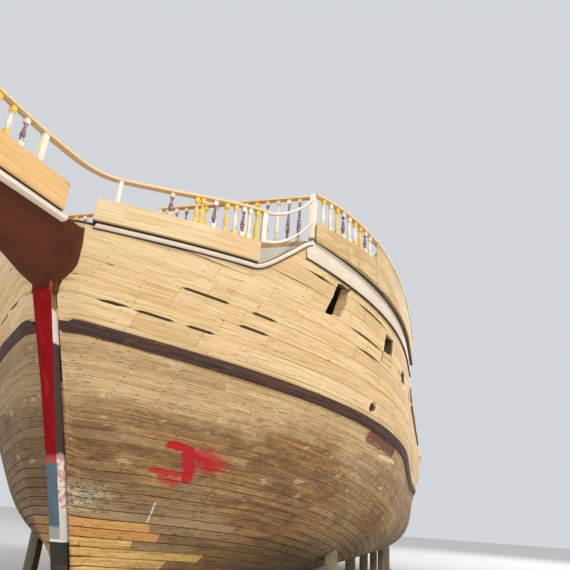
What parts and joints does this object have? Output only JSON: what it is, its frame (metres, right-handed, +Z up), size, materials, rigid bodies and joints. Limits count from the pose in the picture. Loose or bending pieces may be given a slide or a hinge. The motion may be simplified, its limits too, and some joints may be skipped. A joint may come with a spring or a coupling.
{
  "type": "pirate ship tour boat",
  "caption": "Wooden sailing-ship style tour boat in build, with a beaked bow, forecastle, open waist, stern castle, rails, rudder and propeller, standing on keel blocks and shores.",
  "frame": {"origin": "on the ground, at the middle of the whole part's length and width", "axes": "+X to the bow, +Y to port, +Z up"},
  "size_m": [29.2404, 9.9916, 9.7529],
  "materials": {
    "new_plank": "bare sawn softwood, pale yellow, with open seams",
    "old_plank": "weathered bare planks, brown-grey",
    "deck_plank": "bare deck boards",
    "dark_timber": "dark brown timber",
    "red_paint": "red paint on timber, grey primer below",
    "white_paint": "white paint on timber, matte",
    "rail_timber": "turned timber, painted white, yellow or purple in part",
    "ground_timber": "rough grey beams",
    "bronze": "cast, dull"
  },
  "bodies": {
    "root": {"hull": "old_plank", "stem": "red_paint", "bow_topside": "new_plank", "keel": "dark_timber", "wale_port": "dark_timber", "wale_starboard": "dark_timber", "forecastle_side_port": "new_plank", "forecastle_side_starboard": "new_plank", "forecastle_deck": "deck_plank", "forecastle_front": "white_paint", "forecastle_bulkhead": "new_plank", "beak_head": "dark_timber", "sheer_trim_port": "white_paint", "sheer_trim_starboard": "white_paint", "bow_bulwark_port": "new_plank", "bow_bulwark_starboard": "new_plank", "forecastle_bulwark_port": "new_plank", "forecastle_bulwark_starboard": "new_plank", "bow_rail_port": "rail_timber", "bow_rail_starboard": "rail_timber", "forecastle_rail_port": "rail_timber", "forecastle_rail_starboard": "rail_timber", "beak_trim": "white_paint", "beak_bulwark": "new_plank", "beak_rail": "rail_timber", "waist_bulwark_port": "new_plank", "waist_bulwark_starboard": "new_plank", "castle_side_port": "new_plank", "castle_side_starboard": "new_plank", "quarter_deck": "deck_plank", "poop_deck": "deck_plank", "transom": "new_plank", "castle_bulkhead": "new_plank", "poop_bulkhead": "new_plank", "quarter_ladder_port": "deck_plank", "quarter_ladder_starboard": "deck_plank", "forecastle_ladder": "deck_plank", "poop_ladder": "deck_plank", "forecastle_aft_rail": "rail_timber", "quarter_rail": "rail_timber", "poop_front_rail": "rail_timber", "poop_rail_port": "rail_timber", "poop_rail_starboard": "rail_timber", "stern_gallery": "rail_timber", "hatch_coaming": "new_plank", "helm_stand": "old_plank", "keel_blocks": "ground_timber", "shores_port": "ground_timber", "shores_starboard": "ground_timber"},
    "forecastle_door": {"forecastle_door": "old_plank"},
    "castle_door_port": {"castle_door_port": "old_plank"},
    "castle_door_starboard": {"castle_door_starboard": "old_plank"},
    "poop_door": {"poop_door": "old_plank"},
    "hatch_lid": {"hatch_lid": "deck_plank"},
    "helm_wheel": {"helm_wheel": "old_plank"},
    "rudder": {"rudder": "dark_timber"},
    "propeller": {"propeller": "bronze"}
  },
  "joints": [
    {"name": "forecastle_door_turn", "type": "hinge", "parent": "root", "child": "forecastle_door", "pos_m": [3.3215, 1.889, 4.7], "axis": [0, 0, -1], "range_deg": [0, 100]},
    {"name": "castle_door_port_turn", "type": "hinge", "parent": "root", "child": "castle_door_port", "pos_m": [-2.7315, 1.989, 4.47], "axis": [0, 0, 1], "range_deg": [0, 100]},
    {"name": "castle_door_starboard_turn", "type": "hinge", "parent": "root", "child": "castle_door_starboard", "pos_m": [-2.7315, -1.989, 4.47], "axis": [0, 0, -1], "range_deg": [0, 100]},
    {"name": "poop_door_turn", "type": "hinge", "parent": "root", "child": "poop_door", "pos_m": [-7.6415, 0.489, 6.8], "axis": [0, 0, 1], "range_deg": [0, 100]},
    {"name": "hatch_lid_turn", "type": "hinge", "parent": "root", "child": "hatch_lid", "pos_m": [-0.32, 0, 3.9529], "axis": [0, -1, 0], "range_deg": [0, 100]},
    {"name": "helm_wheel_turn", "type": "hinge", "parent": "root", "child": "helm_wheel", "pos_m": [-5.69, 0, 6.60165], "axis": [1, 0, 0], "continuous": true},
    {"name": "rudder_turn", "type": "hinge", "parent": "root", "child": "rudder", "pos_m": [-12.98, 0, 1.5], "axis": [0, 0, 1], "range_deg": [-35, 35]},
    {"name": "propeller_turn", "type": "hinge", "parent": "root", "child": "propeller", "pos_m": [-12.42, 0, 1.35], "axis": [1, 0, 0], "continuous": true}
  ]
}
